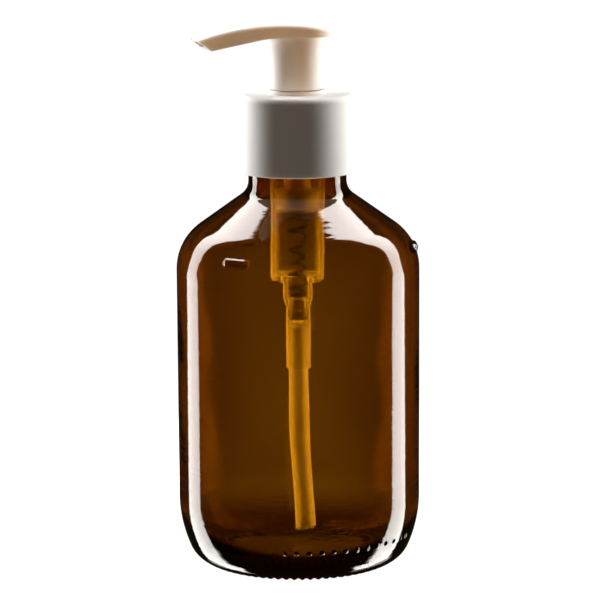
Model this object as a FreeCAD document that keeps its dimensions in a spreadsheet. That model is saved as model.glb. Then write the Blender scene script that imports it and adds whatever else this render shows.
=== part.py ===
import FreeCAD, Part
import math
import os
from types import SimpleNamespace
import Sketcher

# Pump oil bottle: a round amber glass bottle with a lotion pump, standing on z = 0, spout towards -X.
# Every size below is a cell of the Sizes sheet, in millimetres, degrees or a plain count.
SIZES = {
    # glass bottle: outside, from the standing ring up
    "body_radius": 33.3,
    "ring_inner_radius": 21.5,
    "heel_height": 19.0,
    "heel_side_radius": 36.2,
    "heel_corner_height": 4.8,
    "shoulder_height": 82.0,
    "shoulder_radius": 14.7,
    "shoulder_slope": 35.7,
    "neck_radius": 13.4,
    "neck_fillet": 5.0,
    "neck_height": 109.2,
    "finish_radius": 12.7,
    "finish_step": 0.7,
    "glass_height": 126.5,
    "lip_rounding": 0.8,
    # glass bottle: inside and underside
    "wall": 2.3,
    "bore_radius": 10.2,
    "bore_fillet": 7.0,
    "floor_height": 4.4,
    "floor_edge_height": 3.0,
    "inner_heel_radius": 13.0,
    "punt_height": 2.0,
    "punt_edge_height": 0.8,
    "punt_radius": 18.4,
    # glass bottle: marks in the mould
    "bottle_turn": -51.0,
    "lug_count": 3,
    "lug_length": 7.6,
    "lug_width": 2.4,
    "lug_height": 87.9,
    "lug_reach": 32.8,
    "lug_depth": 2.2,
    "dot_count": 13,
    "dot_height": 9.4,
    "dot_start": -66.6,
    "dot_span": 73.1,
    "dot_radius": 0.8,
    "dot_proud": 0.4,
    "knurl_count": 72,
    "knurl_radius": 0.8,
    "knurl_ring": 25.0,
    "knurl_depth": 0.8,
    # screw thread between glass and collar
    "thread_pitch": 4.233,
    "thread_turns": 1.5,
    "thread_bottom": 117.55,
    "thread_overlap": 0.2,
    "glass_thread_reach": 0.95,
    "glass_thread_root": 2.4,
    "glass_thread_crest": 1.0,
    "collar_thread_reach": 1.0,
    "collar_thread_root": 1.8,
    "collar_thread_crest": 0.7,
    # gasket and screw collar
    "gasket_thickness": 1.0,
    "gasket_inner_radius": 7.6,
    "gasket_radius": 12.4,
    "collar_height": 21.3,
    "collar_top": 1.5,
    "collar_radius": 16.6,
    "collar_top_radius": 16.05,
    "collar_bore": 14.05,
    "collar_mouth": 14.7,
    "collar_mouth_depth": 1.8,
    "collar_hole": 7.5,
    "collar_top_rounding": 1.5,
    "collar_bottom_rounding": 0.4,
    # pump housing, lengths measured down from the underside of its flange
    "flange_thickness": 1.2,
    "flange_radius": 12.6,
    "barrel_radius": 7.4,
    "barrel_bore": 6.4,
    "barrel_length": 48.6,
    "barrel_floor": 1.4,
    "barrel_rounding": 0.5,
    "pocket_radius": 4.1,
    "pocket_bore": 3.15,
    "pocket_depth": 53.75,
    "ball_gate": 1.85,
    "chamber_depth": 56.2,
    "chamber_bore": 2.4,
    "seat_cone_height": 1.0,
    "inlet_seat_depth": 60.3,
    "ball_seat": 1.5,
    "tube_stop_depth": 61.1,
    "socket_top_radius": 3.25,
    "socket_radius": 3.55,
    "socket_depth": 72.9,
    "vent_radius": 0.6,
    "vent_depth": 11.0,
    # dip tube
    "tube_radius": 2.85,
    "tube_bore": 2.1,
    "tube_straight": 12.4,
    "tube_drop": 56.4,
    "tube_bend_radius": 633.0,
    "tube_turn": -20.0,
    # guide ring on top of the housing
    "guide_plug_depth": 9.7,
    "guide_neck_radius": 7.35,
    "guide_rim_radius": 8.1,
    "guide_rim": 1.0,
    "guide_bore": 3.8,
    "guide_floor_depth": 4.7,
    "lock_bore": 5.1,
    "lock_groove": 5.85,
    "lock_groove_bottom": 4.2,
    "lock_groove_top": 1.5,
    "lock_slot_length": 11.5,
    "lock_slot_width": 3.5,
    # return spring, pressed down
    "wire_radius": 0.4,
    "coil_radius": 2.45,
    "coil_pitch": 3.9,
    # stem, piston seal and balls, measured up from the stem's foot
    "stem_foot_height": 98.5,
    "stem_radius": 3.75,
    "stem_bore": 1.5,
    "stem_length": 44.5,
    "stem_bead_radius": 3.4,
    "stem_bead": 0.8,
    "spigot_radius": 3.0,
    "spigot_top": 5.7,
    "outlet_seat": 41.2,
    "ball_radius": 1.98,
    "ball_gap": 0.03,
    "piston_lip_radius": 6.36,
    "piston_waist_radius": 5.9,
    "piston_cup_radius": 4.4,
    "piston_lip_low": 1.2,
    "piston_lip_high": 0.2,
    "piston_lip_height": 0.72,
    # actuator head, measured up from the skirt's lower edge
    "head_height": 131.5,
    "skirt_radius": 7.75,
    "skirt_bore": 6.65,
    "skirt_rounding": 0.25,
    "boss_radius": 4.9,
    "boss_drop": 6.0,
    "boss_socket_top": 11.5,
    "roof_height": 13.1,
    "lug_bar_length": 11.0,
    "lug_bar_width": 2.9,
    "lug_bar_height": 1.2,
    "rib_count": 4,
    "rib_width": 0.9,
    "rib_bottom": 4.0,
    "paddle_floor": 14.35,
    "paddle_crest": 17.95,
    "paddle_crest_reach": 7.5,
    "paddle_arch": 66.0,
    "paddle_bend_start": 8.5,
    "paddle_bend_radius": 22.0,
    "paddle_fall": 11.0,
    "tip_top_reach": 29.2,
    "tip_bottom_reach": 25.8,
    "tip_width": 7.5,
    "thumb_centre": 2.6,
    "thumb_radius": 8.7,
    "paddle_rounding": 0.9,
    "trim_margin": 5.0,
    "channel_roof": 1.1,
    "channel_floor": 1.0,
    "channel_width": 5.2,
    "channel_end": 1.9,
    "passage_radius": 1.6,
}


class Size:
    """A number together with the sheet expression that gives it."""

    def __init__(self, value, text):
        self.value = value
        self.text = text

    def __add__(self, other):
        other = as_size(other)
        return Size(self.value + other.value, f"({self.text} + {other.text})")

    def __sub__(self, other):
        other = as_size(other)
        return Size(self.value - other.value, f"({self.text} - {other.text})")

    def __mul__(self, other):
        other = as_size(other)
        return Size(self.value * other.value, f"({self.text} * {other.text})")

    def __truediv__(self, other):
        other = as_size(other)
        return Size(self.value / other.value, f"({self.text} / {other.text})")

    def __neg__(self):
        return Size(-self.value, f"(0 - {self.text})")


def as_size(number):
    return number if isinstance(number, Size) else Size(float(number), repr(float(number)))


def root(size):
    return Size(math.sqrt(size.value), f"sqrt({size.text})")


def sine(angle):
    return Size(math.sin(math.radians(angle.value)), f"sin({angle.text})")


def cosine(angle):
    return Size(math.cos(math.radians(angle.value)), f"cos({angle.text})")


def dome_radius(reach, rise):
    """Radius of the arc that climbs by rise over reach and ends level."""
    return (reach * reach + rise * rise) / (rise * 2)


size = SimpleNamespace(**{name: Size(float(number), f"Sizes.{name}") for name, number in SIZES.items()})
zero = as_size(0)

doc = FreeCAD.newDocument("PumpOilBottle")
sheet = doc.addObject("Spreadsheet::Sheet", "Sizes")
for row, (alias, number) in enumerate(SIZES.items(), 1):
    sheet.set(f"A{row}", alias)
    sheet.set(f"B{row}", str(number))
    sheet.setAlias(f"B{row}", alias)
doc.recompute()


# ---- drawing helpers ----

def origin_feature(body, role):
    return next(feature for feature in body.Origin.OriginFeatures if feature.Role == role)


def new_body(name):
    body = doc.addObject("PartDesign::Body", name)
    body.Label = name
    return body


def new_sketch(body, name, plane, offset=zero):
    """Empty sketch on an origin plane of its own body, moved along the plane's normal by offset."""
    sketch = body.newObject("Sketcher::SketchObject", name)
    sketch.AttachmentSupport = [(origin_feature(body, plane), "")]
    sketch.MapMode = "FlatFace"
    sketch.setExpression("AttachmentOffset.Base.z", offset.text)
    return sketch


def bind(sketch, index, label, expression):
    sketch.renameConstraint(index, label)
    sketch.setExpression(f"Constraints.{label}", expression.text)


def left(radius):
    """Arc to the next corner that turns left."""
    return radius, 1


def right(radius):
    """Arc to the next corner that turns right."""
    return radius, -1


def arc_between(start, end, radius, side):
    """The shorter arc from start to end; its ends are stored anticlockwise."""
    along = end - start
    to_left = FreeCAD.Vector(-along.y, along.x, 0).normalize()
    rise = math.sqrt(max(radius * radius - along.Length ** 2 / 4, 0))
    centre = (start + end) / 2 + to_left * rise * side
    first, last = (start, end) if side > 0 else (end, start)
    angles = [math.atan2(point.y - centre.y, point.x - centre.x) for point in (first, last)]
    return Part.ArcOfCircle(Part.Circle(centre, FreeCAD.Vector(0, 0, 1), radius), *angles)


def pin(sketch, geometry, end, axis_kind, other_axis, value, label):
    """Hold one coordinate of a corner: on the axis when it is zero, else at its distance."""
    if value.value == 0:
        sketch.addConstraint(Sketcher.Constraint("PointOnObject", geometry, end, other_axis))
        return
    index = sketch.addConstraint(Sketcher.Constraint(axis_kind, -1, 1, geometry, end, value.value))
    bind(sketch, index, label, value)


def draw_outline(sketch, prefix, corners, closed=True):
    """Lines and arcs through corners (x, y) or (x, y, arc); the arc leads to the next corner."""
    spots = [(as_size(corner[0]), as_size(corner[1])) for corner in corners]
    vectors = [FreeCAD.Vector(x.value, y.value, 0) for x, y in spots]
    count = len(corners) if closed else len(corners) - 1
    ends = []
    for step in range(count):
        start, end = vectors[step], vectors[(step + 1) % len(corners)]
        if len(corners[step]) > 2:
            radius, side = corners[step][2]
            geometry = sketch.addGeometry(arc_between(start, end, radius.value, side))
            index = sketch.addConstraint(Sketcher.Constraint("Radius", geometry, radius.value))
            bind(sketch, index, f"{prefix}_radius_{step}", radius)
            ends.append((geometry, 1, 2) if side > 0 else (geometry, 2, 1))
        else:
            ends.append((sketch.addGeometry(Part.LineSegment(start, end)), 1, 2))
    for step in range(count if closed else count - 1):
        this, following = ends[step], ends[(step + 1) % count]
        sketch.addConstraint(Sketcher.Constraint("Coincident", this[0], this[2], following[0], following[1]))
    for step, (x, y) in enumerate(spots):
        geometry, first, last = ends[min(step, count - 1)]
        end = first if step < count else last
        pin(sketch, geometry, end, "DistanceX", -2, x, f"{prefix}_x_{step}")
        pin(sketch, geometry, end, "DistanceY", -1, y, f"{prefix}_y_{step}")


def draw_circle(sketch, prefix, x, y, radius):
    middle = FreeCAD.Vector(x.value, y.value, 0)
    circle = Part.Circle(middle, FreeCAD.Vector(0, 0, 1), radius.value)
    geometry = sketch.addGeometry(circle)
    index = sketch.addConstraint(Sketcher.Constraint("Radius", geometry, radius.value))
    bind(sketch, index, f"{prefix}_radius", radius)
    pin(sketch, geometry, 3, "DistanceX", -2, x, f"{prefix}_x")
    pin(sketch, geometry, 3, "DistanceY", -1, y, f"{prefix}_y")


def rectangle(x_low, y_low, x_high, y_high):
    return [(x_low, y_low), (x_high, y_low), (x_high, y_high), (x_low, y_high)]


def revolve(body, name, corners):
    """Full turn about Z of an outline given as radius and height."""
    sketch = new_sketch(body, f"{name}_outline", "XZ_Plane")
    draw_outline(sketch, name, corners)
    turned = body.newObject("PartDesign::Revolution", name)
    turned.Profile = sketch
    turned.ReferenceAxis = (sketch, ["V_Axis"])
    turned.Angle = 360
    return turned


def extrude(body, kind, name, sketch, length, both_ways=False, reverse=False):
    """Pad or Pocket of a sketch."""
    feature = body.newObject(f"PartDesign::{kind}", name)
    feature.Profile = sketch
    feature.setExpression("Length", length.text)
    feature.Midplane = both_ways
    feature.Reversed = reverse
    return feature


def around(body, name, feature, count, span=as_size(360)):
    """Copies of a feature around Z."""
    pattern = body.newObject("PartDesign::PolarPattern", name)
    pattern.Originals = [feature]
    pattern.Axis = (origin_feature(body, "Z_Axis"), [""])
    pattern.setExpression("Angle", span.text)
    pattern.setExpression("Occurrences", count.text)
    body.Tip = pattern
    return pattern


def round_edges(body, name, base, radius, wanted):
    """Fillet the edges of base that wanted() accepts."""
    doc.recompute()
    names = [f"Edge{number}" for number, edge in enumerate(base.Shape.Edges, 1) if wanted(edge)]
    fillet = body.newObject("PartDesign::Fillet", name)
    fillet.Base = (base, names)
    fillet.setExpression("Radius", radius.text)
    return fillet


def is_ring(radius, height):
    """Accepts the circular edge of that radius at that height."""
    def check(edge):
        box = edge.BoundBox
        level = abs(box.ZMax - height.value) < 0.01 and box.ZLength < 0.01
        return level and abs(box.XMax - radius.value) < 0.01
    return check


def thread_ridge(body, name, inner, outer, inner_width, outer_width, start):
    """Helical ridge between two radii, as wide as given at each of them."""
    sketch = new_sketch(body, f"{name}_section", "XZ_Plane")
    draw_outline(sketch, name, [
        (inner, start - inner_width / 2),
        (outer, start - outer_width / 2),
        (outer, start + outer_width / 2),
        (inner, start + inner_width / 2),
    ])
    ridge = body.newObject("PartDesign::AdditiveHelix", name)
    ridge.Profile = sketch
    ridge.ReferenceAxis = (origin_feature(body, "Z_Axis"), [""])
    ridge.Mode = "pitch-turns-angle"
    ridge.setExpression("Pitch", size.thread_pitch.text)
    ridge.setExpression("Turns", size.thread_turns.text)
    return ridge


def place(part, height, turn=zero):
    """Stand a sub-part on its height in the bottle's frame, turned about Z."""
    rotation = FreeCAD.Rotation(FreeCAD.Vector(0, 0, 1), turn.value)
    part.Placement = FreeCAD.Placement(FreeCAD.Vector(), rotation)
    part.setExpression(".Placement.Base.z", height.text)
    if turn.value:
        part.setExpression(".Placement.Rotation.Angle", turn.text)


# Heights that the stacked pieces share.
flange_bottom = size.glass_height + size.gasket_thickness
flange_top = flange_bottom + size.flange_thickness
pocket_floor = flange_bottom - size.pocket_depth
tube_top = flange_bottom - size.tube_stop_depth


# ---- glass ----

def glass_bottle():
    """Round bottle in one blown wall: push-up base, rounded heel, straight body, sloped shoulder."""
    body = new_body("glass_bottle")
    heel_drop = size.heel_height - size.heel_corner_height
    heel_run = root(size.heel_side_radius * size.heel_side_radius - heel_drop * heel_drop)
    heel_corner_reach = size.body_radius - size.heel_side_radius + heel_run
    heel_corner_radius = size.heel_corner_height / (as_size(1) - heel_drop / size.heel_side_radius)
    ring_outer_radius = heel_corner_reach - heel_corner_radius * heel_run / size.heel_side_radius

    slope_sine = sine(size.shoulder_slope)
    slope_cosine = cosine(size.shoulder_slope)
    slope = slope_sine / slope_cosine
    slope_foot = size.body_radius - size.shoulder_radius * (as_size(1) - slope_sine)
    slope_foot_height = size.shoulder_height + size.shoulder_radius * slope_cosine
    slope_head = size.neck_radius + size.neck_fillet * (as_size(1) - slope_sine)
    slope_head_height = slope_foot_height + (slope_foot - slope_head) * slope
    neck_foot = slope_head_height + size.neck_fillet * slope_cosine

    inner_radius = size.body_radius - size.wall
    inner_shoulder = size.shoulder_radius - size.wall
    inner_foot = inner_radius - inner_shoulder * (as_size(1) - slope_sine)
    inner_foot_height = size.shoulder_height + inner_shoulder * slope_cosine
    inner_head = size.bore_radius + size.bore_fillet * (as_size(1) - slope_sine)
    inner_head_height = inner_foot_height + (inner_foot - inner_head) * slope
    bore_foot = inner_head_height + size.bore_fillet * slope_cosine
    floor_edge = inner_radius - size.inner_heel_radius

    revolve(body, "glass_wall", [
        (zero, size.floor_height),
        (zero, size.punt_height,
         right(dome_radius(size.punt_radius, size.punt_height - size.punt_edge_height))),
        (size.punt_radius, size.punt_edge_height),
        (size.ring_inner_radius, zero),
        (ring_outer_radius, zero, left(heel_corner_radius)),
        (heel_corner_reach, size.heel_corner_height, left(size.heel_side_radius)),
        (size.body_radius, size.heel_height),
        (size.body_radius, size.shoulder_height, left(size.shoulder_radius)),
        (slope_foot, slope_foot_height),
        (slope_head, slope_head_height, right(size.neck_fillet)),
        (size.neck_radius, neck_foot),
        (size.neck_radius, size.neck_height),
        (size.finish_radius, size.neck_height + size.finish_step),
        (size.finish_radius, size.glass_height - size.lip_rounding, left(size.lip_rounding)),
        (size.finish_radius - size.lip_rounding, size.glass_height),
        (size.bore_radius + size.lip_rounding, size.glass_height, left(size.lip_rounding)),
        (size.bore_radius, size.glass_height - size.lip_rounding),
        (size.bore_radius, bore_foot, left(size.bore_fillet)),
        (inner_head, inner_head_height),
        (inner_foot, inner_foot_height, right(inner_shoulder)),
        (inner_radius, size.shoulder_height),
        (inner_radius, size.floor_edge_height + size.inner_heel_radius, right(size.inner_heel_radius)),
        (floor_edge, size.floor_edge_height,
         left(dome_radius(floor_edge, size.floor_height - size.floor_edge_height))),
    ])
    shoulder_lugs(body)
    heel_dots(body)
    base_knurl(body)
    thread_ridge(
        body, "glass_thread",
        size.finish_radius - size.thread_overlap, size.finish_radius + size.glass_thread_reach,
        size.glass_thread_root, size.glass_thread_crest, size.thread_bottom,
    )
    place(body, zero, size.bottle_turn)
    return body


def shoulder_lugs(body):
    """Raised bars on the shoulder, level with each other."""
    sketch = new_sketch(body, "lug_outline", "XZ_Plane", size.lug_reach - size.lug_depth)
    end = (size.lug_length - size.lug_width) / 2
    low = size.lug_height - size.lug_width / 2
    high = size.lug_height + size.lug_width / 2
    half = size.lug_width / 2
    draw_outline(sketch, "lug", [
        (-end, low),
        (end, low, left(half)),
        (end + half, size.lug_height, left(half)),
        (end, high),
        (-end, high, left(half)),
        (-end - half, size.lug_height, left(half)),
    ])
    lug = extrude(body, "Pad", "lug", sketch, size.lug_depth)
    around(body, "lugs", lug, size.lug_count)


def heel_dots(body):
    """Row of round dots on the heel."""
    drop = size.heel_height - size.dot_height
    reach = size.body_radius - size.heel_side_radius + root(
        size.heel_side_radius * size.heel_side_radius - drop * drop)
    centre = reach + size.dot_proud - size.dot_radius
    dot = body.newObject("PartDesign::AdditiveSphere", "dot")
    dot.setExpression("Radius", size.dot_radius.text)
    dot.setExpression(".Placement.Base.x", (centre * cosine(size.dot_start)).text)
    dot.setExpression(".Placement.Base.y", (centre * sine(size.dot_start)).text)
    dot.setExpression(".Placement.Base.z", size.dot_height.text)
    around(body, "dots", dot, size.dot_count, size.dot_span)


def base_knurl(body):
    """Scallops around the outside of the standing ring."""
    sketch = new_sketch(body, "knurl_outline", "XY_Plane")
    draw_circle(sketch, "knurl", size.knurl_ring, zero, size.knurl_radius)
    cut = extrude(body, "Pocket", "knurl", sketch, size.knurl_depth, reverse=True)
    around(body, "knurls", cut, size.knurl_count)


# ---- closure ----

def neck_gasket():
    """Foam ring between the glass lip and the housing flange."""
    body = new_body("neck_gasket")
    revolve(body, "gasket_ring", rectangle(
        size.gasket_inner_radius, zero, size.gasket_radius, size.gasket_thickness))
    place(body, size.glass_height)
    return body


def screw_collar():
    """Smooth, slightly tapered cap with an inside thread; z = 0 is the underside of its top."""
    body = new_body("screw_collar")
    bottom = size.collar_top - size.collar_height
    mouth_top = bottom + size.collar_mouth_depth
    shell = revolve(body, "collar_shell", [
        (size.collar_hole, zero),
        (size.collar_bore, zero),
        (size.collar_bore, mouth_top),
        (size.collar_mouth, mouth_top - (size.collar_mouth - size.collar_bore)),
        (size.collar_mouth, bottom),
        (size.collar_radius, bottom),
        (size.collar_top_radius, size.collar_top),
        (size.collar_hole, size.collar_top),
    ])
    top = round_edges(body, "collar_top_edge", shell, size.collar_top_rounding,
                      is_ring(size.collar_top_radius, size.collar_top))
    round_edges(body, "collar_bottom_edge", top, size.collar_bottom_rounding,
                is_ring(size.collar_radius, bottom))
    thread_ridge(
        body, "collar_thread",
        size.collar_bore - size.collar_thread_reach, size.collar_bore + size.thread_overlap,
        size.collar_thread_crest, size.collar_thread_root,
        size.thread_bottom - size.thread_pitch / 2 - flange_top,
    )
    place(body, flange_top, size.bottle_turn)
    return body


# ---- pump, fixed part ----

def pump_housing():
    """Barrel with the spring pocket, inlet valve seat and tube socket below it; z = 0 is under the flange."""
    body = new_body("pump_housing")
    barrel = revolve(body, "housing_wall", [
        (size.barrel_bore, size.flange_thickness),
        (size.barrel_bore, size.barrel_floor - size.barrel_length),
        (size.pocket_bore, size.barrel_floor - size.barrel_length),
        (size.pocket_bore, -size.pocket_depth),
        (size.ball_gate, -size.pocket_depth),
        (size.ball_gate, -size.chamber_depth),
        (size.chamber_bore, -size.chamber_depth),
        (size.chamber_bore, size.seat_cone_height - size.inlet_seat_depth),
        (size.ball_seat, -size.inlet_seat_depth),
        (size.ball_seat, -size.tube_stop_depth),
        (size.tube_radius, -size.tube_stop_depth),
        (size.tube_radius, -size.socket_depth),
        (size.socket_radius, -size.socket_depth),
        (size.socket_top_radius, -size.chamber_depth),
        (size.pocket_radius, -size.pocket_depth),
        (size.pocket_radius, -size.barrel_length),
        (size.barrel_radius, -size.barrel_length),
        (size.barrel_radius, zero),
        (size.flange_radius, zero),
        (size.flange_radius, size.flange_thickness),
    ])
    round_edges(body, "barrel_edge", barrel, size.barrel_rounding,
                is_ring(size.barrel_radius, -size.barrel_length))
    vent = new_sketch(body, "vent_outline", "YZ_Plane")
    draw_circle(vent, "vent", zero, -size.vent_depth, size.vent_radius)
    extrude(body, "Pocket", "vent", vent, size.flange_radius, reverse=True)
    place(body, flange_bottom)
    return body


def guide_ring():
    """Ring that holds collar and housing together, guides the stem and locks the head down."""
    body = new_body("guide_ring")
    rim_top = size.collar_top + size.guide_rim
    ring = revolve(body, "guide_wall", [
        (size.guide_bore, -size.guide_plug_depth),
        (size.barrel_bore, -size.guide_plug_depth),
        (size.barrel_bore, zero),
        (size.guide_neck_radius, zero),
        (size.guide_neck_radius, size.collar_top),
        (size.guide_rim_radius, size.collar_top),
        (size.guide_rim_radius, rim_top),
        (size.lock_bore, rim_top),
        (size.lock_bore, -size.lock_groove_top),
        (size.lock_groove, -size.lock_groove_top),
        (size.lock_groove, -size.lock_groove_bottom),
        (size.lock_bore, -size.lock_groove_bottom),
        (size.lock_bore, -size.guide_floor_depth),
        (size.guide_bore, -size.guide_floor_depth),
    ])
    round_edges(body, "guide_rim_edge", ring, size.skirt_rounding, is_ring(size.guide_rim_radius, rim_top))
    slot = new_sketch(body, "lock_slot_outline", "XY_Plane", rim_top)
    length = size.lock_slot_length / 2
    width = size.lock_slot_width / 2
    draw_outline(slot, "lock_slot", rectangle(-length, -width, length, width))
    extrude(body, "Pocket", "lock_slot", slot, rim_top + size.lock_groove_bottom)
    place(body, flange_top)
    return body


def dip_tube():
    """Tube pressed into the housing, straight at first and then bending gently; z = 0 is its upper end."""
    body = new_body("dip_tube")
    ring = new_sketch(body, "tube_section", "XY_Plane")
    draw_circle(ring, "tube_outside", zero, zero, size.tube_radius)
    draw_circle(ring, "tube_inside", zero, zero, size.tube_bore)
    bend_drop = size.tube_drop - size.tube_straight
    sway = size.tube_bend_radius - root(size.tube_bend_radius * size.tube_bend_radius - bend_drop * bend_drop)
    path = new_sketch(body, "tube_path", "XZ_Plane")
    draw_outline(path, "path", [
        (zero, zero),
        (zero, -size.tube_straight, left(size.tube_bend_radius)),
        (sway, -size.tube_drop),
    ], closed=False)
    tube = body.newObject("PartDesign::AdditivePipe", "tube")
    tube.Profile = ring
    tube.Spine = path
    place(body, tube_top, size.tube_turn)
    return body


def return_spring():
    """Open coil spring, at its length with the head down; z = 0 is the floor of its pocket."""
    body = new_body("return_spring")
    section = new_sketch(body, "wire_section", "XZ_Plane")
    draw_circle(section, "wire", size.coil_radius, size.wire_radius, size.wire_radius)
    coil = body.newObject("PartDesign::AdditiveHelix", "coil")
    coil.Profile = section
    coil.ReferenceAxis = (origin_feature(body, "Z_Axis"), [""])
    coil.Mode = "pitch-height-angle"
    coil.setExpression("Pitch", size.coil_pitch.text)
    coil.setExpression("Height", (size.stem_foot_height - pocket_floor - size.wire_radius * 2).text)
    place(body, pocket_floor)
    return body


def ball(name, seat_height):
    """Valve ball resting in a seat whose edge is at seat_height."""
    sphere = doc.addObject("Part::Sphere", name)
    sphere.Label = name
    sphere.setExpression("Radius", size.ball_radius.text)
    rise = root(size.ball_radius * size.ball_radius - size.ball_seat * size.ball_seat)
    place(sphere, seat_height + rise + size.ball_gap)
    return sphere


# ---- pump, moving part ----

def pump_stem():
    """Hollow rod with the outlet valve seat near its top; z = 0 is its foot."""
    body = new_body("pump_stem")
    revolve(body, "stem_wall", [
        (size.stem_bore, zero),
        (size.stem_bead_radius, zero),
        (size.stem_bead_radius, size.stem_bead),
        (size.spigot_radius, size.stem_bead),
        (size.spigot_radius, size.spigot_top),
        (size.stem_radius, size.spigot_top),
        (size.stem_radius, size.stem_length),
        (size.chamber_bore, size.stem_length),
        (size.chamber_bore, size.outlet_seat + size.seat_cone_height),
        (size.ball_seat, size.outlet_seat),
    ])
    place(body, size.stem_foot_height)
    return body


def piston_seal():
    """Soft seal on the stem's spigot, with one lip down and one lip up against the barrel."""
    body = new_body("piston_seal")
    low = -size.piston_lip_low
    high = size.spigot_top + size.piston_lip_high
    revolve(body, "seal", [
        (size.spigot_radius, size.stem_bead),
        (size.piston_cup_radius, size.stem_bead),
        (size.piston_waist_radius - size.piston_lip_high * 2, low),
        (size.piston_lip_radius, low),
        (size.piston_lip_radius, low + size.piston_lip_height),
        (size.piston_waist_radius, low + size.piston_lip_height * 2),
        (size.piston_waist_radius, high - size.piston_lip_height * 2),
        (size.piston_lip_radius, high - size.piston_lip_height),
        (size.piston_lip_radius, high),
        (size.piston_waist_radius - size.piston_lip_high * 2, high),
        (size.piston_cup_radius, high - size.piston_lip_height),
        (size.piston_cup_radius, size.spigot_top),
        (size.spigot_radius, size.spigot_top),
    ])
    place(body, size.stem_foot_height)
    return body


def actuator_head():
    """Arched paddle with a spout channel, on a round skirt; z = 0 is the skirt's lower edge."""
    body = new_body("actuator_head")
    arch_middle = size.paddle_crest - size.paddle_arch
    paddle = trimmed_paddle(body, arch_middle)
    round_edges(body, "paddle_edge", paddle, size.paddle_rounding, on_arch(arch_middle))
    core = revolve(body, "skirt_and_boss", [
        (zero, size.boss_socket_top),
        (size.stem_radius, size.boss_socket_top),
        (size.stem_radius, -size.boss_drop),
        (size.boss_radius, -size.boss_drop),
        (size.boss_radius, size.roof_height),
        (size.skirt_bore, size.roof_height),
        (size.skirt_bore, zero),
        (size.skirt_radius, zero),
        (size.skirt_radius, size.paddle_floor + size.skirt_rounding),
        (zero, size.paddle_floor + size.skirt_rounding),
    ])
    round_edges(body, "skirt_edge", core, size.skirt_rounding, is_ring(size.skirt_radius, zero))
    boss_ribs(body)
    lock_lugs(body)
    spout_channel(body, arch_middle)
    place(body, size.head_height)
    return body


def arch_height(reach, arch_middle, radius):
    """Height of an arc about the paddle's arch centre, at a distance towards the tip."""
    side = reach - size.paddle_crest_reach
    return arch_middle + root(radius * radius - side * side)


def trimmed_paddle(body, arch_middle):
    """Side outline of the paddle, padded across and trimmed to its outline from above."""
    rear = size.thumb_centre + size.thumb_radius
    bend_sine = sine(size.paddle_fall)
    bend_cosine = cosine(size.paddle_fall)
    bend_reach = size.paddle_bend_start + size.paddle_bend_radius * bend_sine
    bend_height = size.paddle_floor - size.paddle_bend_radius * (as_size(1) - bend_cosine)
    tip_low = bend_height - (size.tip_bottom_reach - bend_reach) * bend_sine / bend_cosine
    side = new_sketch(body, "paddle_side", "XZ_Plane")
    draw_outline(side, "side", [
        (rear, size.paddle_floor),
        (rear, arch_height(-rear, arch_middle, size.paddle_arch), left(size.paddle_arch)),
        (-size.tip_top_reach, arch_height(size.tip_top_reach, arch_middle, size.paddle_arch)),
        (-size.tip_bottom_reach, tip_low),
        (-bend_reach, bend_height, right(size.paddle_bend_radius)),
        (-size.paddle_bend_start, size.paddle_floor),
    ])
    extrude(body, "Pad", "paddle", side, (size.thumb_radius + size.trim_margin) * 2, both_ways=True)

    half_tip = size.tip_width / 2
    reach = size.tip_top_reach + size.thumb_centre
    span = root(reach * reach + half_tip * half_tip)
    touch = root(span * span - size.thumb_radius * size.thumb_radius)
    forward = (size.thumb_radius * reach - touch * half_tip) * size.thumb_radius / (span * span)
    aside = (size.thumb_radius * half_tip + touch * reach) * size.thumb_radius / (span * span)
    outer = size.thumb_radius + size.trim_margin * 2
    above = new_sketch(body, "paddle_above", "XY_Plane")
    draw_outline(above, "frame", rectangle(-size.tip_top_reach - outer, -outer, outer, outer))
    draw_outline(above, "planform", [
        (size.thumb_centre - forward, -aside, left(size.thumb_radius)),
        (size.thumb_centre + size.thumb_radius, zero, left(size.thumb_radius)),
        (size.thumb_centre - forward, aside),
        (-size.tip_top_reach, half_tip),
        (-size.tip_top_reach, -half_tip),
    ])
    depth = (size.paddle_crest + size.trim_margin) * 2
    return extrude(body, "Pocket", "paddle_trim", above, depth, both_ways=True)


def on_arch(arch_middle):
    """Accepts the side and rear edges of the paddle's arched top, not its edge at the tip."""
    centre = FreeCAD.Vector(-size.paddle_crest_reach.value, 0, arch_middle.value)

    def check(edge):
        middle = edge.valueAt((edge.FirstParameter + edge.LastParameter) / 2)
        height = FreeCAD.Vector(middle.x - centre.x, 0, middle.z - centre.z).Length
        at_tip = edge.BoundBox.XMax < 0.01 - size.tip_top_reach.value
        return abs(height - size.paddle_arch.value) < 0.02 and not at_tip
    return check


def boss_ribs(body):
    """Thin ribs that join the boss to the skirt."""
    sketch = new_sketch(body, "rib_outline", "XY_Plane", size.rib_bottom)
    overlap = size.thread_overlap
    draw_outline(sketch, "rib", rectangle(
        size.boss_radius - overlap, -size.rib_width / 2, size.skirt_bore + overlap, size.rib_width / 2))
    rib = extrude(body, "Pad", "rib", sketch, size.roof_height + overlap - size.rib_bottom)
    around(body, "ribs", rib, size.rib_count)


def lock_lugs(body):
    """Two lugs on the boss, one at each end of a bar whose middle the stem's socket takes away."""
    sketch = new_sketch(body, "lock_lug_outline", "XY_Plane", -size.boss_drop)
    length = size.lug_bar_length / 2
    width = size.lug_bar_width / 2
    draw_outline(sketch, "lock_lug", rectangle(-length, -width, length, width))
    draw_circle(sketch, "lock_lug_bore", zero, zero, size.stem_radius)
    extrude(body, "Pad", "lock_lug", sketch, size.lug_bar_height)


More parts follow.
